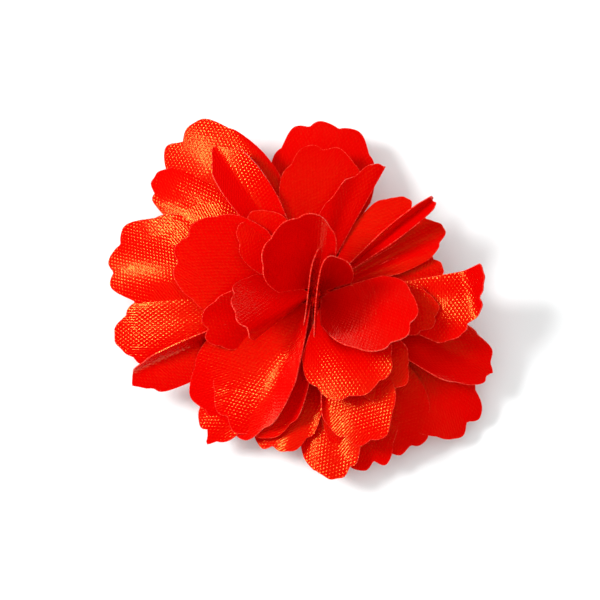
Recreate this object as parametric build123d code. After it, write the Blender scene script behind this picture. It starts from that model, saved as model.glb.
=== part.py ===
from build123d import *

import math
import os
from dataclasses import dataclass

# Flower hair clip: a scalloped satin flower sewn to a felt disc, on a sprung alligator clip.
# Millimetres. The lower leaf lies flat on z = 0, +X runs towards the thumb levers, +Z is up.

# ---- alligator clip ----
SHEET = 0.8                 # steel sheet of both leaves
JAW_END = -19.5             # x of the jaw tips
LEVER_END = 27.5            # x of the thumb ends
PIVOT_X = 13.0              # the thumb levers begin here
PIVOT_Z = 2.9
LOWER_WIDTH = 8.0
UPPER_WIDTH = 6.0
TIP_WIDTH = 5.0
SHOULDER_X = -4.0           # the leaves taper from here to the tips
THUMB_ROUNDING = 0.8        # corner radius, as a share of the half width
TIP_ROUNDING = 0.6
BLANK_HEIGHT = 40.0         # taller than any leaf, to cut its plan
EAR_SHEET = 0.6
EAR_RADIUS = 1.9
UPPER_BOTTOM = 4.6          # underside of the upper leaf over the jaws
NOSE_LENGTH = 8.0           # the upper jaw bends down over this length
NOSE_GAP = 0.12             # air between the closed jaw lips
LIP_LENGTH = 1.2            # flat end of the nose
NOSE_BEND = 0.3             # how far the sheet's top lags its underside at a bend
LEVER_RISE = 20.0           # degrees
PIN_RADIUS = 0.8
RUNNING_CLEARANCE = 0.05
PIN_HEAD_RADIUS = 1.25
PIN_HEAD = 0.4
PIN_HEAD_ROUNDING = 0.45    # as a share of the head's height
GRIP_RIDGES = 3
GRIP_PITCH = 1.6
FIRST_RIDGE = 3.4           # from the jaw tip
RIDGE_RADIUS = 0.35
RIDGE_LENGTH = 3.4
RIDGE_SINK = 0.1            # its axis below the leaf's face

# ---- torsion spring ----
WIRE = 0.6
COIL_RADIUS = 1.25          # mean radius
COIL_TURNS = 3.5
COIL_PITCH = 0.72
SPRING_LEG = 9.0
LOWER_LEG_FALL = 2.0        # degrees

# ---- flower base ----
HUB_X = 3.0                 # the flower's axis, in the row frame
GLUE_LENGTH = 19.0
GLUE_X = 0.0                # its middle
GLUE_WIDTH = 5.4
GLUE_ROUNDING = 0.45        # corner radius, as a share of the pad's width
GLUE = 0.4
FELT_RADIUS = 10.5
FELT = 1.2
FELT_ROUNDING = 0.3         # as a share of the felt's thickness
CORE_RADIUS = 2.7
CORE_TOP = 12.0
CORE_CROWN = 0.6            # radius of its rounded top, as a share of its own
THREAD_RADIUS = 0.25

# ---- petals ----
CLOTH = 0.3                 # stand-in thickness of the doubled satin
ROOT_RADIUS = 2.0           # petals leave the core here
BARE_ROOT = 1.4             # length gathered into the core
TAPER_POWER = 2.4
SCALLOP = 0.045             # depth of a scallop, as a share of the petal's length
STEPS_PER_LOBE = 3          # facets across each scallop
ALONG = 4                   # facets along a petal

UPPER_TOP = UPPER_BOTTOM + SHEET
GLUE_TOP = UPPER_TOP + GLUE
FELT_TOP = GLUE_TOP + FELT


@dataclass
class Petal:
    """One scalloped satin petal. Angles are in degrees, lengths in mm."""

    name: str
    azimuth: float          # direction of its mid-line, anticlockwise from +X
    rise: float             # slope of the mid-line at the root
    root: float             # height of the root
    length: float
    spread: float           # half the angle between its sides
    droop: float            # how far the tip turns down
    cup: float = 90.0       # 90 is flat, less closes it into a trumpet, more arches it
    lean: float = 0.0       # turn about its mid-line
    lobes: int = 5
    skew: float = 0.0       # extra length on its left side
    taper: float = 0.42     # how much shorter its sides are
    offset: float = 0.0     # shift of the root along X
    root_radius: float = ROOT_RADIUS


OUTER_PETALS = [
    Petal("outer_petal_01", 11, 10, 9.0, 21.5, 18, 10, lobes=3),
    Petal("outer_petal_02", 28, 16, 9.4, 24, 18, 20, lobes=3),
    Petal("outer_petal_03", 76, 30, 10.4, 19.5, 17, 10, lean=-25, lobes=3, skew=-0.35, taper=0.05),
    Petal("outer_petal_04", 87.5, 18, 8.6, 31.5, 30, 40),
    Petal("outer_petal_05", 130.5, 22, 8.8, 38, 24.5, 38, cup=102, lean=20, lobes=4),
    Petal("outer_petal_06", 143, 20, 10.2, 36.5, 15, 46, lean=2, lobes=3),
    Petal("outer_petal_07", 169, 22, 9.0, 38, 24, 48, cup=112, lean=4),
    Petal("outer_petal_08", 192, 18, 8.8, 37, 17, 46, cup=95, lean=12, lobes=3),
    Petal("outer_petal_09", 205, 16, 9.4, 35.5, 15, 34, cup=80, lean=25, lobes=3, taper=0.5),
    Petal("outer_petal_10", 232, 16, 8.8, 31, 20, 40, lean=-12, lobes=4),
    Petal("outer_petal_11", 254, 9, 8.4, 28, 24, 20, lean=-15, lobes=4),
    Petal("outer_petal_12", 275, 5, 8.0, 32, 18, 10, lean=-16, lobes=3),
    Petal("outer_petal_13", 288, 16, 8.5, 32, 20, 42, lobes=4),
    Petal("outer_petal_14", 302, 18, 8.9, 32, 22, 46, lobes=4),
    Petal("outer_petal_15", 320, 14, 8.4, 36, 21, 44, lobes=4),
    Petal("outer_petal_16", 336, 18, 9.0, 33, 20, 40, lobes=4, taper=0.5),
    Petal("outer_petal_17", 351, 16, 9.6, 28.5, 17, 4, cup=75, lean=4, lobes=3, skew=0.12, taper=0.06),
]

MIDDLE_PETALS = [
    Petal("middle_petal_01", 38, 25, 10.4, 26, 10, 24, lean=-14, lobes=2),
    Petal("middle_petal_02", 47, 22, 10.0, 21.8, 18, 22, cup=80, lean=-6, lobes=3, skew=-0.1),
    Petal("middle_petal_03", 88, 28, 10.4, 25.5, 32, 36, cup=80, lean=-14, lobes=4, taper=0.48),
    Petal("middle_petal_04", 126, 32, 10.5, 31, 14, 40, cup=50, lobes=3),
    Petal("middle_petal_05", 138, 38, 11.4, 18, 30, 24, cup=62, lobes=4),
    Petal("middle_petal_06", 164, 28, 11.0, 25.5, 36, 34, cup=62, lean=22),
    Petal("middle_petal_07", 200, 26, 10.6, 21, 26, 20, cup=66, lean=30, lobes=4),
    Petal("middle_petal_08", 231.5, 23, 10.8, 30, 34, 62, cup=62),
    Petal("middle_petal_09", 240, 22, 10.2, 28, 31, 50, cup=70),
    Petal("middle_petal_10", 290, 22, 9.8, 28, 24, 30, lean=-18, lobes=4),
    Petal("middle_petal_11", 293, 37, 11.6, 21, 40, 34, cup=74, lean=-8),
    Petal("middle_petal_12", 306, 30, 11.0, 22.5, 28, 40, cup=80, lean=-2, lobes=4),
    Petal("middle_petal_13", 347, 26, 10.4, 21, 22, 24, cup=72, lobes=4),
]

INNER_PETALS = [
    Petal("inner_petal_01", 123.5, 58, 11.8, 19.5, 44, 0, cup=46, lean=-2, root_radius=1),
    Petal("inner_petal_02", 193, 36, 11.4, 18.5, 31, 0, cup=84, lean=-18, skew=0.22, taper=0.3,
          root_radius=1),
    Petal("inner_petal_03", 251, 84, 11.6, 20, 35, 0, cup=100, lean=-97, lobes=4,
          offset=-1.0, root_radius=0),
    Petal("inner_petal_04", 266, 84, 11.6, 20.5, 44, 0, cup=74, lean=96, lobes=4, root_radius=0),
    Petal("inner_petal_05", 327, 50, 11.6, 21.5, 42, 30, cup=44, lean=16, root_radius=1),
]


# ---- petals as thin solids ----

def petal_axes(petal):
    """Mid-line, left side, and the three axes of the cone that the petal is a piece of."""
    azimuth = math.radians(petal.azimuth)
    rise = math.radians(petal.rise)
    lean = math.radians(petal.lean)
    cup = math.radians(petal.cup)
    outward = Vector(math.cos(azimuth), math.sin(azimuth), 0)
    left = Vector(-math.sin(azimuth), math.cos(azimuth), 0)
    middle = outward * math.cos(rise) + Vector(0, 0, math.sin(rise))
    upright = Vector(0, 0, math.cos(rise)) - outward * math.sin(rise)
    face = upright * math.cos(lean) + left * math.sin(lean)
    axis = middle * math.cos(cup) + face * math.sin(cup)
    front = middle * math.sin(cup) - face * math.cos(cup)
    return outward, left, axis, front, axis.cross(front)


def petal_reach(petal, share):
    """Length of the petal at share, which runs from -1 on its right side to 1 on its left."""
    body = 1 - petal.taper * abs(share) ** TAPER_POWER + petal.skew * share
    dip = 0.5 + 0.5 * math.cos(math.pi * petal.lobes * (share + 1))
    return petal.length * body * (1 - SCALLOP * dip)


def petal_point(petal, axes, share, distance):
    """A point on the petal: a ray of the cone at share, bent down along its length."""
    outward, left, axis, front, side = axes
    cup = math.radians(petal.cup)
    turn = math.radians(petal.spread) * share / math.sin(cup)
    ray = axis * math.cos(cup) + (front * math.cos(turn) + side * math.sin(turn)) * math.sin(cup)
    bend = math.radians(petal.droop) / petal.length
    along_left = left * ray.dot(left)
    across = ray - along_left
    if petal.droop:
        arc = across * (math.sin(bend * distance) / bend)
        arc += left.cross(across) * ((1 - math.cos(bend * distance)) / bend)
    else:
        arc = across * distance
    root = Vector(HUB_X + petal.offset, 0, petal.root) + outward * petal.root_radius
    return root + along_left * distance + arc


def petal_grid(petal):
    """Rows of points over the petal, from its right side to its left."""
    axes = petal_axes(petal)
    steps = petal.lobes * STEPS_PER_LOBE
    rows = []
    for i in range(steps + 1):
        share = 2 * i / steps - 1
        reach = petal_reach(petal, share)
        distances = [BARE_ROOT + (reach - BARE_ROOT) * j / ALONG for j in range(ALONG + 1)]
        rows.append([petal_point(petal, axes, share, distance) for distance in distances])
    return rows


def grid_normal(rows, i, j):
    """The surface normal at one point of a grid, from its neighbours."""
    across = rows[min(i + 1, len(rows) - 1)][j] - rows[max(i - 1, 0)][j]
    along = rows[i][min(j + 1, ALONG)] - rows[i][max(j - 1, 0)]
    return along.cross(across).normalized()


def offset_grid(rows, distance):
    """The grid moved along its own normals."""
    return [
        [point + grid_normal(rows, i, j) * distance for j, point in enumerate(row)]
        for i, row in enumerate(rows)
    ]


def facet_strip(first, second):
    """Flat triangles between two rows of points."""
    facets = []
    for j in range(len(first) - 1):
        a, b, c, d = first[j], second[j], second[j + 1], first[j + 1]
        facets.append(Face(Wire.make_polygon([a, b, c])))
        facets.append(Face(Wire.make_polygon([a, c, d])))
    return facets


def make_petal(petal):
    """The petal's sheet in flat facets, closed into a solid of the cloth's thickness."""
    rows = petal_grid(petal)
    top = offset_grid(rows, CLOTH / 2)
    bottom = offset_grid(rows, -CLOTH / 2)
    facets = []
    for i in range(len(rows) - 1):
        facets += facet_strip(top[i], top[i + 1])
        facets += facet_strip(bottom[i], bottom[i + 1])
    for i in (0, -1):
        facets += facet_strip(top[i], bottom[i])
    for j in (0, -1):
        facets += facet_strip([row[j] for row in top], [row[j] for row in bottom])
    return Solid(Shell(facets))


# ---- alligator clip ----

def across_y(profile, width):
    """Extrude a closed XZ outline equally to both sides of the XZ plane."""
    face = make_face(Plane.XZ * profile)
    return extrude(face, amount=width / 2, both=True)


def tapered_blank(width):
    """A tall block with the leaf's plan: a rounded, tapering jaw end and a rounded thumb end."""
    tip = TIP_WIDTH / 2
    side = width / 2
    outline = Polyline(
        (JAW_END, -tip), (SHOULDER_X, -side), (LEVER_END, -side),
        (LEVER_END, side), (SHOULDER_X, side), (JAW_END, tip), (JAW_END, -tip),
    )
    blank = extrude(make_face(outline), amount=BLANK_HEIGHT / 2, both=True)
    jaw_corners = blank.edges().filter_by(Axis.Z).group_by(Axis.X)[0]
    thumb_corners = blank.edges().filter_by(Axis.Z).group_by(Axis.X)[-1]
    rounded = fillet(thumb_corners, side * THUMB_ROUNDING)
    return rounded.fillet(tip * TIP_ROUNDING, jaw_corners)


def ear_pair(middle_y, reach_z, hole_radius):
    """Two upright ears round the pivot, joined to a leaf at height reach_z, with the pin's hole."""
    height = abs(reach_z - PIVOT_Z)
    ear = Cylinder(EAR_RADIUS, EAR_SHEET, rotation=(90, 0, 0))
    side = 1 if reach_z > PIVOT_Z else -1
    ear += Pos(0, 0, side * height / 2) * Box(2 * EAR_RADIUS, EAR_SHEET, height)
    ear -= Cylinder(hole_radius, 4 * EAR_SHEET, rotation=(90, 0, 0))
    ears = [Pos(PIVOT_X, y, PIVOT_Z) * ear for y in (-middle_y, middle_y)]
    return ears


def grip_ridges():
    """Pressed cross ridges near the lower jaw's tip, half sunk in the leaf."""
    ridge = Cylinder(RIDGE_RADIUS, RIDGE_LENGTH, rotation=(90, 0, 0))
    first = JAW_END + FIRST_RIDGE
    return [
        Pos(first + i * GRIP_PITCH, 0, SHEET - RIDGE_SINK) * ridge for i in range(GRIP_RIDGES)
    ]


def make_lower_jaw():
    leaf = Polyline(
        (JAW_END, 0), (LEVER_END, 0), (LEVER_END, SHEET), (JAW_END, SHEET), (JAW_END, 0),
    )
    jaw = across_y(leaf, 2 * LOWER_WIDTH) & tapered_blank(LOWER_WIDTH)
    for ear in ear_pair(LOWER_WIDTH / 2 - EAR_SHEET / 2, SHEET / 2, PIN_RADIUS):
        jaw += ear
    for ridge in grip_ridges():
        jaw += ridge
    return jaw


def make_upper_jaw():
    rise = math.radians(LEVER_RISE)
    lift = (LEVER_END - PIVOT_X) * math.tan(rise)
    nose_start = JAW_END + NOSE_LENGTH
    lip = SHEET + NOSE_GAP
    leaf = Polyline(
        (JAW_END, lip), (JAW_END + LIP_LENGTH, lip), (nose_start, UPPER_BOTTOM),
        (PIVOT_X, UPPER_BOTTOM), (LEVER_END, UPPER_BOTTOM + lift),
        (LEVER_END - SHEET * math.sin(rise), UPPER_BOTTOM + lift + SHEET * math.cos(rise)),
        (PIVOT_X - SHEET * math.tan(rise / 2), UPPER_TOP),
        (nose_start - NOSE_BEND, UPPER_TOP),
        (JAW_END + LIP_LENGTH - NOSE_BEND, lip + SHEET), (JAW_END, lip + SHEET),
        (JAW_END, lip),
    )
    jaw = across_y(leaf, 2 * UPPER_WIDTH) & tapered_blank(UPPER_WIDTH)
    ear_y = UPPER_WIDTH / 2 - EAR_SHEET / 2
    for ear in ear_pair(ear_y, UPPER_BOTTOM + SHEET / 2, PIN_RADIUS + RUNNING_CLEARANCE):
        jaw += ear
    return jaw


def make_hinge_pin():
    pin = Cylinder(PIN_RADIUS, LOWER_WIDTH, rotation=(90, 0, 0))
    head = Cylinder(PIN_HEAD_RADIUS, PIN_HEAD, rotation=(90, 0, 0))
    head = fillet(head.edges(), PIN_HEAD * PIN_HEAD_ROUNDING)
    for side in (-1, 1):
        pin += Pos(0, side * (LOWER_WIDTH / 2 + PIN_HEAD / 2), 0) * head
    return Pos(PIVOT_X, 0, PIVOT_Z) * pin


def make_torsion_spring():
    """A coil round the pin whose two straight legs run back under the thumb levers."""
    turns = COIL_TURNS + (LEVER_RISE + LOWER_LEG_FALL) / 360
    width = COIL_PITCH * turns
    coil = Helix(COIL_PITCH, width, COIL_RADIUS)
    lower_leg = Line(coil @ 0 - (coil % 0) * SPRING_LEG, coil @ 0)
    upper_leg = Line(coil @ 1, coil @ 1 + (coil % 1) * SPRING_LEG)
    path = Wire([lower_leg.edge(), coil.edge(), upper_leg.edge()])
    section = Plane(lower_leg @ 0, z_dir=lower_leg % 0) * Circle(WIRE / 2)
    spring = sweep(section, path=path, is_frenet=True)
    upright = Rot(-90, 0, 0) * Rot(0, 0, 90 - LOWER_LEG_FALL) * Pos(0, 0, -width / 2) * spring
    return Pos(PIVOT_X, 0, PIVOT_Z) * upright


# ---- flower base ----

def make_glue_pad():
    pad = Box(GLUE_LENGTH, GLUE_WIDTH, GLUE)
    pad = fillet(pad.edges().filter_by(Axis.Z), GLUE_WIDTH * GLUE_ROUNDING)
    return Pos(GLUE_X, 0, UPPER_TOP + GLUE / 2) * pad


def make_felt_disc():
    disc = Cylinder(FELT_RADIUS, FELT)
    disc = fillet(disc.edges(), FELT * FELT_ROUNDING)
    return Pos(HUB_X, 0, GLUE_TOP + FELT / 2) * disc


def make_sewn_core():
    """The petals' gathered roots: a waisted button standing on the felt."""
    height = CORE_TOP - FELT_TOP
    core = Cylinder(CORE_RADIUS, height)
    core = fillet(core.edges().group_by(Axis.Z)[-1], CORE_RADIUS * CORE_CROWN)
    core = Pos(HUB_X, 0, FELT_TOP + height / 2) * core
    groove = Pos(HUB_X, 0, FELT_TOP + 2 * THREAD_RADIUS) * Torus(CORE_RADIUS, THREAD_RADIUS)
    return core - groove


def make_binding_thread():
    return Pos(HUB_X, 0, FELT_TOP + 2 * THREAD_RADIUS) * Torus(CORE_RADIUS, THREAD_RADIUS)


# ---- every node ----

BUILDERS = {
    "lower_jaw": make_lower_jaw,
    "upper_jaw": make_upper_jaw,
    "hinge_pin": make_hinge_pin,
    "torsion_spring": make_torsion_spring,
    "glue_pad": make_glue_pad,
    "felt_disc": make_felt_disc,
    "sewn_core": make_sewn_core,
    "binding_thread": make_binding_thread,
}


def main():
    os.makedirs("parts", exist_ok=True)
    for name, build in BUILDERS.items():
        export_step(build(), f"parts/{name}.step")
    for petal in OUTER_PETALS + MIDDLE_PETALS + INNER_PETALS:
        export_step(make_petal(petal), f"parts/{petal.name}.step")


main()
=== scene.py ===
import math
from dataclasses import dataclass

import bpy
import numpy as np
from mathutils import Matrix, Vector


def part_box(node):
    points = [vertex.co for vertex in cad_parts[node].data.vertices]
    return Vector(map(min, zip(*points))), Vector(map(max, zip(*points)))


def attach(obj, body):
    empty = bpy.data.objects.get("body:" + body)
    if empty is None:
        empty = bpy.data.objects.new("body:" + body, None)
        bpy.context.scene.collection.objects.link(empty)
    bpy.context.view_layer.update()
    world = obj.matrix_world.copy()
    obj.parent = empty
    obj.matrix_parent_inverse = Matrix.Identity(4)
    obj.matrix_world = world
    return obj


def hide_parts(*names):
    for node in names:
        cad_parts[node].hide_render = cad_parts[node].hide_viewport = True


# Looks of the flower hair clip. Shapes are worked out in millimetres in the CAD frame, +Z up,
# and written to the meshes in metres.

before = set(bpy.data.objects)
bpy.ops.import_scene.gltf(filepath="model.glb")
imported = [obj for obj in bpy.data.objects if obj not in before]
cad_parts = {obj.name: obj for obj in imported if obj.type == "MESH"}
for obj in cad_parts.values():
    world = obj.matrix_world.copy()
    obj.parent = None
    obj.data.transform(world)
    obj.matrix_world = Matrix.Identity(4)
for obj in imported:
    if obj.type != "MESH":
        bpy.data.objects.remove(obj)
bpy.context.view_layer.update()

MM = 0.001
HUB_X = 3.0                 # the flower's axis
CLOTH = 0.2                 # satin, with its stiffening
ROOT_RADIUS = 2.0           # petals leave the core here
ROOT_START = 0.5            # a petal's points begin this far along its rays
TAPER_POWER = 2.4           # the higher, the later a petal's sides get shorter
SCALLOP = 0.042             # depth of a scallop, as a share of the petal's length
UNEVEN_CUT = 0.007          # how far the cut strays, as a share of the petal's length
UNEVEN_SPACING = 0.04       # how far the notches stray, as a share of the half width
STEPS_PER_LOBE = 14         # points across one scallop
ALONG = 44                  # steps from root to rim
FAR_FROM_RIM = 5.0          # for satin without a cut edge
SHARP_EDGE = 50.0           # degrees
ANY_DIRECTION = (0.13, 0.21, 0.97)      # that no thread runs along

# Ripples are written as height, frequency and phase.
CORE_PLEATS = 19
CORE_UNEVEN = ((0.8, 2, 0), (0.5, 5, 0))
CORE_SEGMENTS = 285
CORE_PROFILE = [            # part of the height, radius, depth of the pleats
    (0.0, 2.3, 0.1), (0.08, 2.3, 0.15), (0.2, 2.35, 0.2), (0.32, 2.6, 0.3), (0.5, 2.75, 0.4),
    (0.66, 2.6, 0.45), (0.78, 2.1, 0.4), (0.82, 1.4, 0.35), (0.76, 0.8, 0.25), (0.6, 0.4, 0.1),
]
WINDING_TURNS = 14
WINDING_STEPS = 40          # points in a turn
WINDING_WIDTH = 0.7
WINDING_THREAD = 0.11       # radius
WINDING_SIDES = 8
WINDING_CLEARANCE = 0.12    # from the outside of the CAD ring
WINDING_CLIMB = (WINDING_WIDTH / 2, 1 / 5.3, 0.4)
WINDING_SWELL = (0.1, 1 / 3.1, math.pi / 2)
FELT_SEGMENTS = 220
FELT_FACE_RINGS = (0.1, 0.3, 0.5, 0.7, 0.85, 0.93)      # as shares of the radius
FELT_EDGE_STEPS = 6
FELT_EDGE_DEPTH = 0.4       # of the rounded edge, as a share of the thickness
FELT_FUZZ = 0.05
FELT_FIBRES = 60
FIBRE_STEPS = 6
FIBRE_SIDES = 3
FIBRE_RADIUS = 0.02
FIBRE_LENGTHS = (0.5, 1.0)
FIBRE_HEIGHTS = (0.15, 0.85)            # as parts of the felt's thickness
FIBRE_ROOT = 0.3            # how far in from the edge a fibre starts
FIBRE_BEND = 0.35
FIBRE_LIFT = 0.6            # how much less it bends up or down than sideways
GLUE_SEGMENTS = 180
GLUE_STEPS = 8
GLUE_BULGE = 0.5
GLUE_LUMPS = ((0.5, 3, 0.6), (0.3, 7, 2), (0.2, 13, 0))
GLUE_SQUARENESS = 0.55      # 1 is an ellipse, less squares its ends
GLUE_ENDWAYS = 0.3          # how much less it is pressed out endways than sideways


@dataclass
class Pleat:
    """A fold along a ray of the petal: the cloth outside it turns up by so many degrees."""

    share: float            # where it runs, from -1 on the right side to 1 on the left
    turn: float
    width: float = 0.15


@dataclass
class Curl:
    """The cloth beyond a line rolls over, up if turn is positive."""

    share: float            # the line passes through this point
    part: float             # of the way from root to rim
    heading: float          # direction it rolls in, degrees left of the petal's own ray
    turn: float
    radius: float           # mm


@dataclass
class Spike:
    """A pointed shred that the cutter left at the rim."""

    share: float            # where it is across the petal
    length: float           # mm
    width: float = 0.12     # half of it, as a share


@dataclass
class Petal:
    """One scalloped satin petal. Angles are in degrees, lengths in mm."""

    name: str
    azimuth: float          # direction of its mid-line, anticlockwise from +X
    rise: float             # slope of the mid-line at the root
    root: float             # height of the root
    length: float
    spread: float           # half the angle between its sides
    droop: float            # how far the tip turns down
    cup: float = 90.0       # 90 is flat, less closes it into a trumpet, more arches it
    lean: float = 0.0       # turn about its mid-line
    lobes: int = 5
    skew: float = 0.0       # extra length on its left side
    taper: float = 0.42     # how much shorter its sides are
    offset: float = 0.0     # shift of the root along X
    root_radius: float = ROOT_RADIUS


@dataclass
class Finish:
    """What makes each petal's cloth its own."""

    wave: float = 0.5       # height of the ripples at the rim, mm
    waves: float = 2.5      # ripples across the petal
    phase: float = 0.0      # of the ripples, in turns
    grain: float = 20.0     # direction of the warp threads
    shaping: tuple = ()     # its pleats, curls and spikes


OUTER_PETALS = [
    Petal("outer_petal_01", 11, 10, 9.0, 21.5, 18, 10, lobes=3),
    Petal("outer_petal_02", 28, 16, 9.4, 24, 18, 20, lobes=3),
    Petal("outer_petal_03", 76, 30, 10.4, 19.5, 17, 10, lean=-25, lobes=3, skew=-0.35, taper=0.05),
    Petal("outer_petal_04", 87.5, 18, 8.6, 31.5, 30, 40),
    Petal("outer_petal_05", 130.5, 22, 8.8, 38, 24.5, 38, cup=102, lean=20, lobes=4),
    Petal("outer_petal_06", 143, 20, 10.2, 36.5, 15, 46, lean=2, lobes=3),
    Petal("outer_petal_07", 169, 22, 9.0, 38, 24, 48, cup=112, lean=4),
    Petal("outer_petal_08", 192, 18, 8.8, 37, 17, 46, cup=95, lean=12, lobes=3),
    Petal("outer_petal_09", 205, 16, 9.4, 35.5, 15, 34, cup=80, lean=25, lobes=3, taper=0.5),
    Petal("outer_petal_10", 232, 16, 8.8, 31, 20, 40, lean=-12, lobes=4),
    Petal("outer_petal_11", 254, 9, 8.4, 28, 24, 20, lean=-15, lobes=4),
    Petal("outer_petal_12", 275, 5, 8.0, 32, 18, 10, lean=-16, lobes=3),
    Petal("outer_petal_13", 288, 16, 8.5, 32, 20, 42, lobes=4),
    Petal("outer_petal_14", 302, 18, 8.9, 32, 22, 46, lobes=4),
    Petal("outer_petal_15", 320, 14, 8.4, 36, 21, 44, lobes=4),
    Petal("outer_petal_16", 336, 18, 9.0, 33, 20, 40, lobes=4, taper=0.5),
    Petal("outer_petal_17", 351, 16, 9.6, 28.5, 17, 4, cup=75, lean=4, lobes=3, skew=0.12, taper=0.06),
]

MIDDLE_PETALS = [
    Petal("middle_petal_01", 38, 25, 10.4, 26, 10, 24, lean=-14, lobes=2),
    Petal("middle_petal_02", 47, 22, 10.0, 21.8, 18, 22, cup=80, lean=-6, lobes=3, skew=-0.1),
    Petal("middle_petal_03", 88, 28, 10.4, 25.5, 32, 36, cup=80, lean=-14, lobes=4, taper=0.48),
    Petal("middle_petal_04", 126, 32, 10.5, 31, 14, 40, cup=50, lobes=3),
    Petal("middle_petal_05", 138, 38, 11.4, 18, 30, 24, cup=62, lobes=4),
    Petal("middle_petal_06", 164, 28, 11.0, 25.5, 36, 34, cup=62, lean=22),
    Petal("middle_petal_07", 200, 26, 10.6, 21, 26, 20, cup=66, lean=30, lobes=4),
    Petal("middle_petal_08", 231.5, 23, 10.8, 30, 34, 62, cup=62),
    Petal("middle_petal_09", 240, 22, 10.2, 28, 31, 50, cup=70),
    Petal("middle_petal_10", 290, 22, 9.8, 28, 24, 30, lean=-18, lobes=4),
    Petal("middle_petal_11", 293, 37, 11.6, 21, 40, 34, cup=74, lean=-8),
    Petal("middle_petal_12", 306, 30, 11.0, 22.5, 28, 40, cup=80, lean=-2, lobes=4),
    Petal("middle_petal_13", 347, 26, 10.4, 21, 22, 24, cup=72, lobes=4),
]

INNER_PETALS = [
    Petal("inner_petal_01", 123.5, 58, 11.8, 19.5, 44, 0, cup=46, lean=-2, root_radius=1),
    Petal("inner_petal_02", 193, 36, 11.4, 18.5, 31, 0, cup=84, lean=-18, skew=0.22, taper=0.3,
          root_radius=1),
    Petal("inner_petal_03", 251, 84, 11.6, 20, 35, 0, cup=100, lean=-97, lobes=4,
          offset=-1.0, root_radius=0),
    Petal("inner_petal_04", 266, 84, 11.6, 20.5, 44, 0, cup=74, lean=96, lobes=4, root_radius=0),
    Petal("inner_petal_05", 327, 50, 11.6, 21.5, 42, 30, cup=44, lean=16, root_radius=1),
]

FINISHES = {
    "outer_petal_01": Finish(wave=0.3, grain=70, shaping=(Pleat(0.3, 30),)),
    "outer_petal_02": Finish(wave=0.3, grain=35, shaping=(Pleat(0.1, 40),)),
    "outer_petal_03": Finish(wave=0.25, waves=1.5, grain=12),
    "outer_petal_04": Finish(wave=0.25, waves=1.5, phase=0.3, grain=8),
    "outer_petal_05": Finish(wave=0.3, waves=1.5, phase=0.25, grain=50,
                             shaping=(Curl(-0.78, 0.6, -75, -60, 5),)),
    "outer_petal_06": Finish(wave=0.12, waves=1.5, phase=0.6, grain=25,
                             shaping=(Pleat(0.4, -18),)),
    "outer_petal_07": Finish(wave=0.4, waves=1.8, phase=0.1, grain=40),
    "outer_petal_08": Finish(wave=0.3, waves=1.5, grain=15, shaping=(Pleat(-0.5, -17),)),
    "outer_petal_09": Finish(wave=0.2, waves=1, grain=65,
                             shaping=(Pleat(-0.15, 60, 0.12), Spike(0.1, 1))),
    "outer_petal_10": Finish(wave=0.4, waves=2, phase=0.4, grain=20, shaping=(Spike(0.05, 2.6),)),
    "outer_petal_11": Finish(wave=0.5, waves=2, phase=0.1, grain=48),
    "outer_petal_12": Finish(wave=0.4, waves=1.5, phase=0.5, grain=45),
    "outer_petal_13": Finish(wave=0.4, waves=2, phase=0.7, grain=10),
    "outer_petal_14": Finish(wave=0.4, waves=2, phase=0.2, grain=72),
    "outer_petal_15": Finish(wave=0.4, waves=1.5, phase=0.8, grain=30),
    "outer_petal_16": Finish(wave=0.5, waves=2, phase=0.3, grain=5,
                             shaping=(Pleat(0, 70), Spike(0, 1.8))),
    "outer_petal_17": Finish(wave=0.2, waves=1.5, grain=80, shaping=(Curl(0.5, 0.84, 15, 40, 2.5),)),
    "middle_petal_01": Finish(wave=0.15, waves=1, grain=20, shaping=(Pleat(0, 120, 0.12),)),
    "middle_petal_02": Finish(wave=0.15, waves=1, grain=60),
    "middle_petal_03": Finish(wave=0.2, waves=1, phase=0.5, grain=30),
    "middle_petal_04": Finish(wave=0.1, waves=1, grain=45, shaping=(Pleat(0, 45, 0.12),)),
    "middle_petal_05": Finish(wave=0.4, waves=1.5, grain=70),
    "middle_petal_06": Finish(wave=0.2, waves=1, phase=0.25, grain=15),
    "middle_petal_07": Finish(wave=0.3, waves=1.5, grain=55),
    "middle_petal_08": Finish(wave=0.2, waves=1, phase=0.7, grain=35, shaping=(Pleat(0.45, 40, 0.2),)),
    "middle_petal_09": Finish(wave=0.3, waves=1.5, phase=0.2, grain=42, shaping=(Pleat(0.6, 40),)),
    "middle_petal_10": Finish(wave=0.3, waves=1.5, grain=65, shaping=(Curl(-0.72, 0.6, -90, 110, 0.8),)),
    "middle_petal_11": Finish(wave=0.4, waves=1.5, phase=0.4, grain=25),
    "middle_petal_12": Finish(wave=0.3, waves=1.5, grain=75, shaping=(Curl(0.75, 0.7, 80, 110, 0.8),)),
    "middle_petal_13": Finish(wave=0.3, waves=1.5, grain=40),
    "inner_petal_01": Finish(wave=0.15, waves=1, grain=55, shaping=(Pleat(-0.6, 50),)),
    "inner_petal_02": Finish(wave=0.2, waves=1, grain=10, shaping=(Pleat(0.7, -80, 0.12),)),
    "inner_petal_03": Finish(wave=0.3, waves=1.2, grain=35),
    "inner_petal_04": Finish(wave=0.15, waves=1, grain=60, shaping=(Pleat(-0.4, 95, 0.14),)),
    "inner_petal_05": Finish(wave=0.15, waves=1, grain=28, shaping=(Pleat(0.4, -25, 0.2),)),
}


# ---- petal surface ----

def unit(vectors):
    return vectors / np.linalg.norm(vectors, axis=-1, keepdims=True)


def turned(vector, axis, angle):
    """vector turned about a unit axis."""
    along = axis * np.dot(vector, axis)
    return along + (vector - along) * math.cos(angle) + np.cross(axis, vector) * math.sin(angle)


def ripples(turn, *terms):
    """A sum of sines of turn, each with its height, frequency and phase."""
    return sum(height * np.sin(frequency * turn + phase) for height, frequency, phase in terms)


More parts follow.
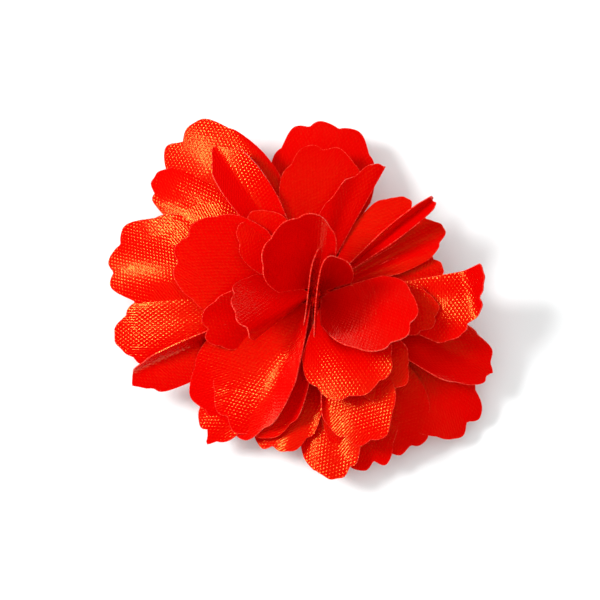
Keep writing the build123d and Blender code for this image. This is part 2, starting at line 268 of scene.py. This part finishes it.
def petal_reach(petal, share):
    """Length of the petal at share: rounded scallops, never quite even, with notches between."""
    seed = petal.azimuth
    body = 1 - petal.taper * np.abs(share) ** TAPER_POWER + petal.skew * share
    cut = share + ripples(share, (UNEVEN_SPACING, 5, seed))
    dip = 1 - np.abs(np.sin(petal.lobes * math.pi * (cut + 1) / 2))
    stray = ripples(share, (UNEVEN_CUT, 9, seed), (0.6 * UNEVEN_CUT, 23, 2 * seed))
    return petal.length * body * (1 - SCALLOP * dip + stray)


def spikes(finish, share):
    """Extra length that the petal's pointed shreds give it at share."""
    extra = 0 * share
    for spike in finish.shaping:
        if isinstance(spike, Spike):
            extra = extra + spike.length * np.maximum(0, 1 - np.abs(share - spike.share) / spike.width)
    return extra


def heading(petal, finish, share):
    """How far the cloth has turned about its rays at share, from cupping, pleats and ripples."""
    spread = math.radians(petal.spread)
    turn = share * spread / math.tan(math.radians(petal.cup))
    for pleat in finish.shaping:
        if isinstance(pleat, Pleat):
            step = np.tanh((share - pleat.share) / pleat.width) + math.tanh(pleat.share / pleat.width)
            turn = turn + math.radians(pleat.turn) / 2 * step
    ripple = math.pi * finish.waves / spread
    slope = finish.wave / petal.length * ripple
    return turn + slope * np.cos(ripple * spread * share + 2 * math.pi * finish.phase)


def petal_rays(petal, finish, shares):
    """Outward and left of the petal, and its cone's unit rays, stepped out from the mid-line."""
    azimuth = math.radians(petal.azimuth)
    rise = math.radians(petal.rise)
    lean = math.radians(petal.lean)
    outward = np.array([math.cos(azimuth), math.sin(azimuth), 0])
    left = np.array([-math.sin(azimuth), math.cos(azimuth), 0])
    middle = outward * math.cos(rise) + np.array([0, 0, math.sin(rise)])
    upright = np.array([0, 0, math.cos(rise)]) - outward * math.sin(rise)
    face = upright * math.cos(lean) + left * math.sin(lean)
    turns = heading(petal, finish, shares)
    start = len(shares) // 2
    rays = np.zeros((len(shares), 3))
    for way in (1, -1):
        ray = middle
        across = turned(np.cross(face, middle), middle, turns[start])
        rays[start] = ray
        i = start
        while 0 <= i + way < len(shares):
            across = turned(across, ray, turns[i + way] - turns[i])
            step = (shares[i + way] - shares[i]) * math.radians(petal.spread)
            ray, across = (
                ray * math.cos(step) + across * math.sin(step),
                across * math.cos(step) - ray * math.sin(step),
            )
            i += way
            rays[i] = ray
    return outward, left, rays


def grid_normals(points):
    along = np.gradient(points, axis=1)
    across = np.gradient(points, axis=0)
    return unit(np.cross(along, across))


def roll_over(points, curl, shares):
    """Points beyond the curl's line wrapped round a cylinder, and on in a straight line."""
    i = int(np.argmin(np.abs(shares - curl.share)))
    j = int(round(curl.part * ALONG))
    normals = grid_normals(points)
    j_next = min(j + 1, ALONG)
    ray = unit(points[i, j_next] - points[i, j_next - 1])
    normal = normals[i, j]
    side = unit(np.cross(normal, ray))
    angle = math.radians(curl.heading)
    out = ray * math.cos(angle) + side * math.sin(angle)
    turn = math.radians(abs(curl.turn))
    up = normal if curl.turn > 0 else -normal
    offset = points - points[i, j]
    beyond = offset @ out
    height = offset @ up
    rolled = np.clip(beyond / curl.radius, 0, turn)
    spare = beyond - curl.radius * rolled
    new_beyond = (curl.radius - height) * np.sin(rolled) + spare * np.cos(rolled)
    new_height = curl.radius - (curl.radius - height) * np.cos(rolled) + spare * np.sin(rolled)
    moved = points + out * (new_beyond - beyond)[..., None] + up * (new_height - height)[..., None]
    return np.where((beyond > 0)[..., None], moved, points)


def droop_path(petal, distance):
    """How far forward and down the points go, as the rays bend down towards the tip."""
    angle = math.radians(petal.droop) * (distance / petal.length)
    step_angle = (angle[:, 1:] + angle[:, :-1]) / 2
    steps = np.diff(distance, axis=1)
    start = np.zeros((len(distance), 1))
    forward = np.hstack([start, np.cumsum(steps * np.cos(step_angle), axis=1)])
    down = np.hstack([start, np.cumsum(steps * np.sin(step_angle), axis=1)])
    return forward + ROOT_START, down


def place_points(petal, shares, distance, finish):
    """The points at each distance along each ray, all drooping about the petal's sideways axis."""
    outward, left, rays = petal_rays(petal, finish, shares)
    root = np.array([HUB_X + petal.offset, 0, petal.root]) + outward * petal.root_radius
    sideways = rays @ left
    ahead = rays - sideways[:, None] * left
    below = np.cross(left, ahead)
    forward, down = droop_path(petal, distance)
    points = root + sideways[:, None, None] * left * distance[..., None]
    return points + ahead[:, None, :] * forward[..., None] + below[:, None, :] * down[..., None]


def flat_pattern(petal, shares, distance):
    """Where the points lie on the cloth before it is shaped."""
    angle = math.radians(petal.spread) * shares[:, None]
    return np.stack([-distance * np.sin(angle), distance * np.cos(angle)], axis=-1)


def rim_distance(petal, shares, distance, reach):
    """How far each point is from the nearest cut edge."""
    side_edge = distance * math.radians(petal.spread) * (1 - np.abs(shares))[:, None]
    return np.minimum(reach[:, None] - distance, side_edge)


def petal_surface(petal, finish):
    """The petal's middle surface, its flat pattern, and each point's distance from the cut edge."""
    shares = np.linspace(-1, 1, petal.lobes * STEPS_PER_LOBE + 1)
    reach = petal_reach(petal, shares) + spikes(finish, shares)
    parts = np.linspace(0, 1, ALONG + 1)
    distance = ROOT_START + (reach - ROOT_START)[:, None] * parts
    points = place_points(petal, shares, distance, finish)
    for curl in finish.shaping:
        if isinstance(curl, Curl):
            points = roll_over(points, curl, shares)
    flat = flat_pattern(petal, shares, distance)
    return points, flat, rim_distance(petal, shares, distance, reach)


# ---- meshes ----

def mesh_object(name, points, faces, material):
    mesh = bpy.data.meshes.new(name)
    mesh.from_pydata((np.asarray(points) * MM).tolist(), [], faces)
    mesh.materials.append(material)
    mesh.shade_smooth()
    mesh.validate()
    piece = bpy.data.objects.new(name, mesh)
    bpy.context.scene.collection.objects.link(piece)
    return piece


def grid_faces(rows, columns, first, flip):
    """Quads over a grid of points that starts at index first."""
    faces = []
    for i in range(rows - 1):
        for j in range(columns - 1):
            a = first + i * columns + j
            quad = (a, a + 1, a + columns + 1, a + columns)
            faces.append(quad[::-1] if flip else quad)
    return faces


def border(rows, columns):
    """Indices round the outside of a grid."""
    down = [i * columns for i in range(rows)]
    bottom = [(rows - 1) * columns + j for j in range(1, columns)]
    up = [i * columns + columns - 1 for i in range(rows - 2, -1, -1)]
    top = [j for j in range(columns - 2, 0, -1)]
    return down + bottom + up + top


def lay_threads(piece, threads, rim):
    """What the satin's material reads: places on the weave, and how far off the cut edge is."""
    mesh = piece.data
    corner = np.zeros(len(mesh.loops), np.int32)
    mesh.loops.foreach_get("vertex_index", corner)
    layer = mesh.uv_layers.new(name="threads")
    layer.data.foreach_set("uv", threads[corner].astype(np.float32).ravel())
    edge = mesh.attributes.new("rim", "FLOAT", "POINT")
    edge.data.foreach_set("value", rim.astype(np.float32))


def along_grain(flat, grain):
    """Flat places, measured across and along the warp threads."""
    angle = math.radians(grain)
    x = flat[..., 0].ravel()
    y = flat[..., 1].ravel()
    across = x * math.cos(angle) - y * math.sin(angle)
    along = x * math.sin(angle) + y * math.cos(angle)
    return np.stack([across, along], axis=-1)


def sheet_object(name, surface, flat, rim, thickness, grain, material):
    """A closed mesh of the cloth's thickness, with its weave laid along the grain."""
    rows, columns = surface.shape[:2]
    normals = grid_normals(surface)
    top = (surface + normals * thickness / 2).reshape(-1, 3)
    bottom = (surface - normals * thickness / 2).reshape(-1, 3)
    count = rows * columns
    faces = grid_faces(rows, columns, 0, False) + grid_faces(rows, columns, count, True)
    ring = border(rows, columns)
    for a, b in zip(ring, ring[1:] + ring[:1]):
        faces.append((b, a, a + count, b + count))
    piece = mesh_object(name, np.vstack([top, bottom]), faces, material)
    lay_threads(piece, np.tile(along_grain(flat, grain), (2, 1)), np.tile(rim.ravel(), 2))
    piece.data.set_sharp_from_angle(angle=math.radians(SHARP_EDGE))
    return piece


def make_petal(petal, finish, material):
    surface, flat, rim = petal_surface(petal, finish)
    piece = sheet_object(
        petal.name + "_satin", surface, flat, rim, CLOTH, finish.grain, material
    )
    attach(piece, "flower")
    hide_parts(petal.name)


# ---- materials ----

class Nodes:
    """Short ways to add shader nodes."""

    def __init__(self, name):
        self.material = bpy.data.materials.new(name)
        self.material.use_nodes = True
        self.tree = self.material.node_tree
        self.shader = self.tree.nodes["Principled BSDF"]

    def put(self, target, value):
        if isinstance(value, bpy.types.NodeSocket):
            self.tree.links.new(value, target)
        else:
            target.default_value = value

    def math(self, operation, a, b=0.0, clamp=False):
        node = self.tree.nodes.new("ShaderNodeMath")
        node.operation = operation
        node.use_clamp = clamp
        self.put(node.inputs[0], a)
        self.put(node.inputs[1], b)
        return node.outputs[0]

    def stripes(self, distance, period):
        """A cosine that repeats after each period."""
        return self.math("COSINE", self.math("MULTIPLY", distance, 2 * math.pi / period))

    def noise(self, vector, scale, detail=2.0):
        node = self.tree.nodes.new("ShaderNodeTexNoise")
        self.put(node.inputs["Vector"], vector)
        node.inputs["Scale"].default_value = scale
        node.inputs["Detail"].default_value = detail
        return node.outputs["Fac"]

    def stretch(self, vector, scale):
        node = self.tree.nodes.new("ShaderNodeMapping")
        self.put(node.inputs["Vector"], vector)
        node.inputs["Scale"].default_value = scale
        return node.outputs["Vector"]

    def rescale(self, value, low, high, new_low, new_high):
        node = self.tree.nodes.new("ShaderNodeMapRange")
        self.put(node.inputs["Value"], value)
        node.inputs["From Min"].default_value = low
        node.inputs["From Max"].default_value = high
        node.inputs["To Min"].default_value = new_low
        node.inputs["To Max"].default_value = new_high
        return node.outputs["Result"]

    def mix(self, factor, a, b):
        node = self.tree.nodes.new("ShaderNodeMix")
        node.data_type = "RGBA"
        self.put(node.inputs["Factor"], factor)
        self.put(node.inputs["A"], a)
        self.put(node.inputs["B"], b)
        return node.outputs["Result"]

    def bump(self, height, distance, normal=None):
        node = self.tree.nodes.new("ShaderNodeBump")
        self.put(node.inputs["Height"], height)
        node.inputs["Strength"].default_value = 1.0
        node.inputs["Distance"].default_value = distance
        if normal is not None:
            self.put(node.inputs["Normal"], normal)
        return node.outputs["Normal"]

    def uv(self, name):
        node = self.tree.nodes.new("ShaderNodeUVMap")
        node.uv_map = name
        return node.outputs["UV"]

    def object_place(self):
        return self.tree.nodes.new("ShaderNodeTexCoord").outputs["Object"]

    def attribute(self, name):
        node = self.tree.nodes.new("ShaderNodeAttribute")
        node.attribute_name = name
        return node.outputs["Fac"]

    def split(self, vector):
        node = self.tree.nodes.new("ShaderNodeSeparateXYZ")
        self.put(node.inputs[0], vector)
        return node.outputs[0], node.outputs[1]

    def set(self, **sockets):
        for name, value in sockets.items():
            self.put(self.shader.inputs[name.replace("_", " ")], value)


# Painted shade: the gaps between the floats are a deeper red than the plain red of the float tops.
SATIN_GAP_SHADE = (0.64, 0.0001, 0.0001, 1)
SATIN_RED = (0.75, 0.001, 0.001, 1)
# Painted glint on the cut edge: a paler red where the edge catches the light.
SATIN_EDGE_GLINT = (0.95, 0.06, 0.04, 1)
SATIN_SHEEN = (1.0, 0.42, 0.07, 1)
ROW_PERIOD = 0.72           # between two rows of floats
FLOAT_PERIOD = 1.08         # between two floats in a row
STRIPE_PERIOD = 0.45        # where the floats run together into ribs


def satin_material():
    """Red polyester satin: a lattice of floating threads that sparkle, with painted shade in the gaps
    between the floats, and a painted glint along the cut edge.
    """
    n = Nodes("satin_red")
    threads = n.uv("threads")
    across, along = n.split(threads)
    slubs = n.noise(n.stretch(threads, (2.2, 0.12, 1)), 1.0, 3.0)
    patches = n.noise(n.stretch(threads, (0.12, 0.12, 1)), 1.0)
    floats = n.math("MULTIPLY", n.stripes(across, ROW_PERIOD), n.stripes(along, FLOAT_PERIOD))
    dots = n.rescale(floats, -0.1, 1, 0, 1)
    ribs = n.rescale(n.stripes(across, STRIPE_PERIOD), -0.5, 0.9, 0, 1)
    ribbed = n.rescale(patches, 0.52, 0.6, 0, 0.6)
    lattice = n.math(
        "ADD",
        n.math("MULTIPLY", dots, n.math("SUBTRACT", 1.0, ribbed)),
        n.math("MULTIPLY", ribs, ribbed),
    )
    # Painted shade in the weave: the gaps between the floats go to the deeper red and the float tops to
    # the plain red, while patches vary the tone at random.
    gap_shade_and_tone = n.math("MULTIPLY", lattice, n.rescale(patches, 0.3, 0.7, 0.7, 1.0))
    weave = n.mix(gap_shade_and_tone, SATIN_GAP_SHADE, SATIN_RED)
    # Painted highlight along the cut edge: a paler red in uneven spots close to the rim, where the edge
    # catches the light.
    cut = n.rescale(n.attribute("rim"), 0.06, 0.16, 1, 0)
    edge_glints = n.rescale(n.noise(threads, 3.6, 3.0), 0.46, 0.6, 0.1, 1.0)
    gloss = n.math("MULTIPLY", lattice, n.rescale(slubs, 0.3, 0.7, 0.7, 1.3), clamp=True)
    n.set(
        Base_Color=n.mix(n.math("MULTIPLY", cut, edge_glints), weave, SATIN_EDGE_GLINT),
        Roughness=0.17,
        IOR=1.55,
        Specular_IOR_Level=n.rescale(gloss, 0.1, 0.6, 0.3, 1.0),
        Specular_Tint=SATIN_SHEEN,
        Normal=n.bump(slubs, 2.5e-5, n.bump(lattice, 3.6e-5)),
    )
    return n.material


def felt_material():
    """Red felt, matt and tufted."""
    n = Nodes("felt_red")
    place = n.object_place()
    fibres = n.noise(place, 2600, 6.0)
    tufts = n.noise(place, 700, 3.0)
    n.set(
        Base_Color=n.mix(fibres, (0.42, 0.004, 0.004, 1), (0.72, 0.02, 0.014, 1)),
        Roughness=n.rescale(fibres, 0, 1, 0.8, 1.0),
        Sheen_Weight=0.4,
        Sheen_Roughness=0.5,
        Specular_IOR_Level=0.2,
        Normal=n.bump(fibres, 1.2e-4, n.bump(tufts, 2e-4)),
    )
    return n.material


def steel_material(name, tone, roughness):
    """Nickel-plated spring steel with fine scuffs."""
    n = Nodes(name)
    place = n.object_place()
    scuffs = n.noise(n.stretch(place, (300, 3000, 3000)), 1.0, 4.0)
    cloud = n.noise(place, 260, 3.0)
    dark = [0.8 * channel for channel in tone]
    wear = n.math("ADD", cloud, scuffs)
    n.set(
        Base_Color=n.mix(cloud, (*dark, 1), (*tone, 1)),
        Metallic=1.0,
        Roughness=n.rescale(wear, 0.6, 1.4, roughness - 0.07, roughness + 0.1),
        Normal=n.bump(scuffs, 4e-6),
    )
    return n.material


def glue_material():
    """Milky hot-melt glue."""
    n = Nodes("hot_glue")
    cloud = n.noise(n.object_place(), 500, 3.0)
    n.set(
        Base_Color=n.mix(cloud, (0.72, 0.68, 0.58, 1), (0.86, 0.84, 0.77, 1)),
        Roughness=n.rescale(cloud, 0.3, 0.7, 0.22, 0.4),
        Coat_Weight=0.3,
        Coat_Roughness=0.15,
        Normal=n.bump(cloud, 1.2e-4),
    )
    return n.material


def thread_material():
    """Red sewing thread with fine fibres."""
    n = Nodes("thread_red")
    place = n.object_place()
    fibres = n.noise(n.stretch(place, (4000, 4000, 9000)), 1.0, 4.0)
    n.set(
        Base_Color=n.mix(fibres, (0.3, 0.002, 0.002, 1), (0.7, 0.01, 0.008, 1)),
        Roughness=n.rescale(fibres, 0.3, 0.7, 0.5, 0.75),
        Sheen_Weight=0.2,
        Normal=n.bump(fibres, 5e-5),
    )
    return n.material


def floor_material():
    """A matt white table."""
    n = Nodes("white_table")
    grain = n.noise(n.object_place(), 900, 3.0)
    n.set(
        Base_Color=n.mix(grain, (0.92, 0.95, 0.95, 1), (0.93, 0.96, 0.96, 1)),
        Roughness=0.9,
        Specular_IOR_Level=0.0,
    )
    return n.material


def backdrop_material():
    """An even pale grey that needs no light."""
    n = Nodes("pale_backdrop")
    n.set(
        Base_Color=(0, 0, 0, 1),
        Roughness=1.0,
        Specular_IOR_Level=0.0,
        Emission_Color=(0.93, 0.94, 0.95, 1),
        Emission_Strength=0.85,
    )
    return n.material


# ---- flower base and clip ----

def round_turns(count):
    """Angles of so many points round a circle."""
    return np.linspace(0, 2 * math.pi, count, endpoint=False)


def round_hub(turns, reach, height):
    """Points round the flower's axis."""
    return np.stack([HUB_X + reach * np.cos(turns), reach * np.sin(turns), height], axis=-1)


def rings_object(name, stacks, material):
    """One mesh over closed stacks of rings of points, lowest ring first."""
    points = []
    faces = []
    for rings in stacks:
        count, around = rings.shape[:2]
        first = len(points)
        points += rings.reshape(-1, 3).tolist()
        points += [rings[0].mean(axis=0).tolist(), rings[-1].mean(axis=0).tolist()]
        foot = first + count * around
        for i in range(around):
            following = (i + 1) % around
            faces.append((foot, first + following, first + i))
            for ring in range(count - 1):
                low = first + ring * around
                faces.append((low + i, low + following, low + around + following, low + around + i))
            top = first + (count - 1) * around
            faces.append((foot + 1, top + i, top + following))
    return mesh_object(name, points, faces, material)


def tube_rings(path, radius, sides):
    """Rings of points round a path."""
    forward = unit(np.gradient(path, axis=0))
    side = unit(np.cross(forward, ANY_DIRECTION))
    up = np.cross(forward, side)
    turns = round_turns(sides)[:, None]
    spokes = side[:, None] * np.cos(turns) + up[:, None] * np.sin(turns)
    return path[:, None] - spokes * radius


def node_box(node):
    """A CAD node's lowest and highest corner, in mm."""
    low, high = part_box(node)
    return np.array(low) / MM, np.array(high) / MM


def make_core(material):
    """The petals' gathered roots: pleats drawn in by the thread and fanning out above it."""
    low, high = node_box("sewn_core")
    turns = round_turns(CORE_SEGMENTS)
    uneven = CORE_PLEATS * turns + ripples(turns, *CORE_UNEVEN)
    rings = []
    for part, radius, pleat in CORE_PROFILE:
        reach = radius + ripples(uneven, (pleat, 1, part))
        height = low[2] + part * (high[2] - low[2]) + pleat * np.cos(3 * turns)
        rings.append(round_hub(turns, reach, np.maximum(height, low[2])))
    rings = np.array(rings)
    piece = rings_object("sewn_core_satin", [rings], material)
    places = np.vstack([rings.reshape(-1, 3), rings[0].mean(axis=0), rings[-1].mean(axis=0)])
    foot_radius = CORE_PROFILE[0][1]
    across = foot_radius * np.arctan2(places[:, 1], places[:, 0] - HUB_X)
    threads = np.stack([across, places[:, 2]], axis=-1)
    lay_threads(piece, threads, np.full(len(places), FAR_FROM_RIM))
    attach(piece, "flower")
    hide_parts("sewn_core")


def make_thread(material):
    """Sewing thread wound round the core in uneven turns."""
    low, high = node_box("binding_thread")
    turns = np.linspace(0, 1, WINDING_TURNS * WINDING_STEPS) * 2 * math.pi * WINDING_TURNS
    height = (low[2] + high[2]) / 2 + ripples(turns, WINDING_CLIMB)
    reach = high[1] - WINDING_THREAD - WINDING_CLEARANCE + ripples(turns, WINDING_SWELL)
    rings = tube_rings(round_hub(turns, reach, height), WINDING_THREAD, WINDING_SIDES)
    piece = rings_object("binding_thread_winding", [rings], material)
    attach(piece, "flower")
    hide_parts("binding_thread")


def felt_profile(roundness):
    """Share of the radius and part of the thickness, from the lower face round to the upper."""
    profile = [(share, 0.0) for share in FELT_FACE_RINGS]
    for step in range(FELT_EDGE_STEPS + 1):
        angle = math.pi * step / FELT_EDGE_STEPS
        profile.append((1 + roundness * (math.sin(angle) - 1), (1 - math.cos(angle)) / 2))
    return profile + [(share, 1.0) for share in reversed(FELT_FACE_RINGS)]


def fibre_rings(random, radius, foot, thick):
    """One loose fibre that bends out of the felt's edge."""
    turn = random.uniform(0, 2 * math.pi)
    outward = np.array([math.cos(turn), math.sin(turn), 0])
    aside = np.array([-math.sin(turn), math.cos(turn), 0])
    height = foot + thick * random.uniform(*FIBRE_HEIGHTS)
    start = np.array([HUB_X, 0, height]) + outward * (radius - FIBRE_ROOT)
    bend_aside, bend_up = random.normal(0, FIBRE_BEND, 2)
    length = random.uniform(*FIBRE_LENGTHS)
    along = np.linspace(0, 1, FIBRE_STEPS)[:, None]
    bend = aside * bend_aside + np.array([0, 0, FIBRE_LIFT * bend_up])
    path = start + outward * along * length + bend * along ** 2
    return tube_rings(path, FIBRE_RADIUS, FIBRE_SIDES)


def make_felt(material):
    """The felt disc: soft edge, uneven faces, and loose fibres round the cut."""
    random = np.random.default_rng(5)
    low, high = node_box("felt_disc")
    radius = (high[1] - low[1]) / 2
    thick = high[2] - low[2]
    turns = round_turns(FELT_SEGMENTS)
    rings = []
    for share, part in felt_profile(thick / radius * FELT_EDGE_DEPTH):
        reach = radius * share + random.normal(0, FELT_FUZZ, FELT_SEGMENTS)
        bumps = random.normal(0, FELT_FUZZ / 2, FELT_SEGMENTS)
        height = np.clip(low[2] + thick * part + bumps, low[2], high[2])
        rings.append(round_hub(turns, reach, height))
    piece = rings_object("felt_disc_cloth", [np.array(rings)], material)
    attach(piece, "flower")
    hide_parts("felt_disc")
    fibres = [fibre_rings(random, radius, low[2], thick) for _ in range(FELT_FIBRES)]
    fuzz = rings_object("felt_fibres", fibres, material)
    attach(fuzz, "flower")


def squared(wave):
    """A sine or cosine drawn out towards its ends, to square an outline."""
    return np.sign(wave) * np.abs(wave) ** GLUE_SQUARENESS


def make_glue(material):
    """Hot glue pressed out in a rounded bead round the upper jaw."""
    low, high = node_box("glue_pad")
    middle = (low + high) / 2
    half = (high - low) / 2
    turns = round_turns(GLUE_SEGMENTS)
    lumps = ripples(turns, *GLUE_LUMPS)
    outline = np.stack([
        half[0] * squared(np.cos(turns)),
        half[1] * squared(np.sin(turns)),
        0 * turns,
    ], axis=-1)
    outward = unit(outline * [GLUE_ENDWAYS, 1, 1])
    rings = []
    for step in range(GLUE_STEPS + 1):
        angle = math.pi * step / GLUE_STEPS
        bulge = GLUE_BULGE * (1 + 0.6 * lumps) * math.sin(angle) + 0.1 * lumps
        height = middle[2] - half[2] * math.cos(angle)
        rings.append([middle[0], middle[1], height] + outline + outward * bulge[:, None])
    piece = rings_object("glue_pad_bead", [np.array(rings)], material)
    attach(piece, "flower")
    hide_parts("glue_pad")


def dress(node, material):
    """A carried-over CAD node keeps its shape and gets its finish."""
    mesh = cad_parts[node].data
    mesh.materials.clear()
    mesh.materials.append(material)


def make_flower():
    satin = satin_material()
    for petal in OUTER_PETALS + MIDDLE_PETALS + INNER_PETALS:
        make_petal(petal, FINISHES[petal.name], satin)
    make_core(satin)
    make_thread(thread_material())
    make_felt(felt_material())
    make_glue(glue_material())


def dress_clip():
    plate = steel_material("nickel_plate", (0.66, 0.65, 0.62), 0.3)
    wire = steel_material("spring_wire", (0.5, 0.5, 0.5), 0.25)
    for node in ("lower_jaw", "upper_jaw", "hinge_pin"):
        dress(node, plate)
    dress("torsion_spring", wire)


# ---- stage ----

CAMERA_TARGET = (-0.24, -1.83, 14.0)
CAMERA_DISTANCE = 500.0
CAMERA_ELEVATION = 80.0
CAMERA_LENS = 166.7         # 36 mm sensor
LIGHT_TARGET = (HUB_X, 0, 12)
KEY = ("key", (-505, 100, 620), 240, 4.9)       # name, place, size and power
FILLS = [                   # the wide soft lights, in the same order
    ("fill_above", (0, 0, 1200), 1600, 11.2),
    ("fill_left", (-1100, 0, 420), 900, 3.3),
    ("fill_right", (1100, 0, 420), 900, 3.3),
    ("fill_front", (0, -1100, 420), 900, 3.3),
    ("fill_back", (0, 1100, 420), 900, 3.3),
]
WORLD_LIGHT = 0.03
FLOOR_SIZE = 3000.0
BACKDROP_RADIUS = 1000.0
BACKDROP_HEIGHT = 700.0
BACKDROP_SIDES = 96


def aim(thing, place, target):
    """thing at place, facing target, the top of its view as near +Z as it can be."""
    thing.location = Vector(place) * MM
    facing = Vector(target) - Vector(place)
    thing.rotation_euler = facing.to_track_quat("-Z", "Y").to_euler()


def make_camera():
    camera = bpy.data.objects.new("camera", bpy.data.cameras.new("camera"))
    bpy.context.scene.collection.objects.link(camera)
    camera.data.lens = CAMERA_LENS
    camera.data.clip_start = 0.01
    tilt = math.radians(CAMERA_ELEVATION)
    away = Vector((0, -math.cos(tilt), math.sin(tilt)))
    aim(camera, Vector(CAMERA_TARGET) + away * CAMERA_DISTANCE, CAMERA_TARGET)
    bpy.context.scene.camera = camera


def area_light(name, place, size, power):
    """A round light aimed at the flower."""
    lamp = bpy.data.lights.new(name, "AREA")
    lamp.shape = "DISK"
    lamp.size = size * MM
    lamp.energy = power
    light = bpy.data.objects.new(name, lamp)
    bpy.context.scene.collection.objects.link(light)
    aim(light, place, LIGHT_TARGET)
    return light


def make_lights():
    """One light that the satin mirrors, and wide soft ones that it doesn't."""
    area_light(*KEY)
    for fill in FILLS:
        area_light(*fill).visible_glossy = False
    world = bpy.data.worlds.new("studio")
    world.use_nodes = True
    background = world.node_tree.nodes["Background"]
    background.inputs["Color"].default_value = (1, 1, 1, 1)
    background.inputs["Strength"].default_value = WORLD_LIGHT
    world.cycles_visibility.glossy = False
    bpy.context.scene.world = world
    bpy.context.scene.view_settings.view_transform = "Standard"


def make_floor():
    half = FLOOR_SIZE / 2
    corners = [(-half, -half, 0), (half, -half, 0), (half, half, 0), (-half, half, 0)]
    floor = mesh_object("floor", corners, [(0, 1, 2, 3)], floor_material())


def make_backdrop():
    """A pale wall on the floor, that lights nothing and shows in no reflection."""
    turns = round_turns(BACKDROP_SIDES)
    foot = np.stack([np.cos(turns), np.sin(turns), 0 * turns], axis=-1) * BACKDROP_RADIUS
    faces = []
    for i in range(BACKDROP_SIDES):
        following = (i + 1) % BACKDROP_SIDES
        faces.append((i, i + BACKDROP_SIDES, following + BACKDROP_SIDES, following))
    points = np.vstack([foot, foot + [0, 0, BACKDROP_HEIGHT]])
    wall = mesh_object("backdrop", points, faces, backdrop_material())
    wall.visible_diffuse = False
    wall.visible_glossy = False
    wall.visible_shadow = False


make_camera()
make_floor()
make_backdrop()
make_lights()
make_flower()
dress_clip()
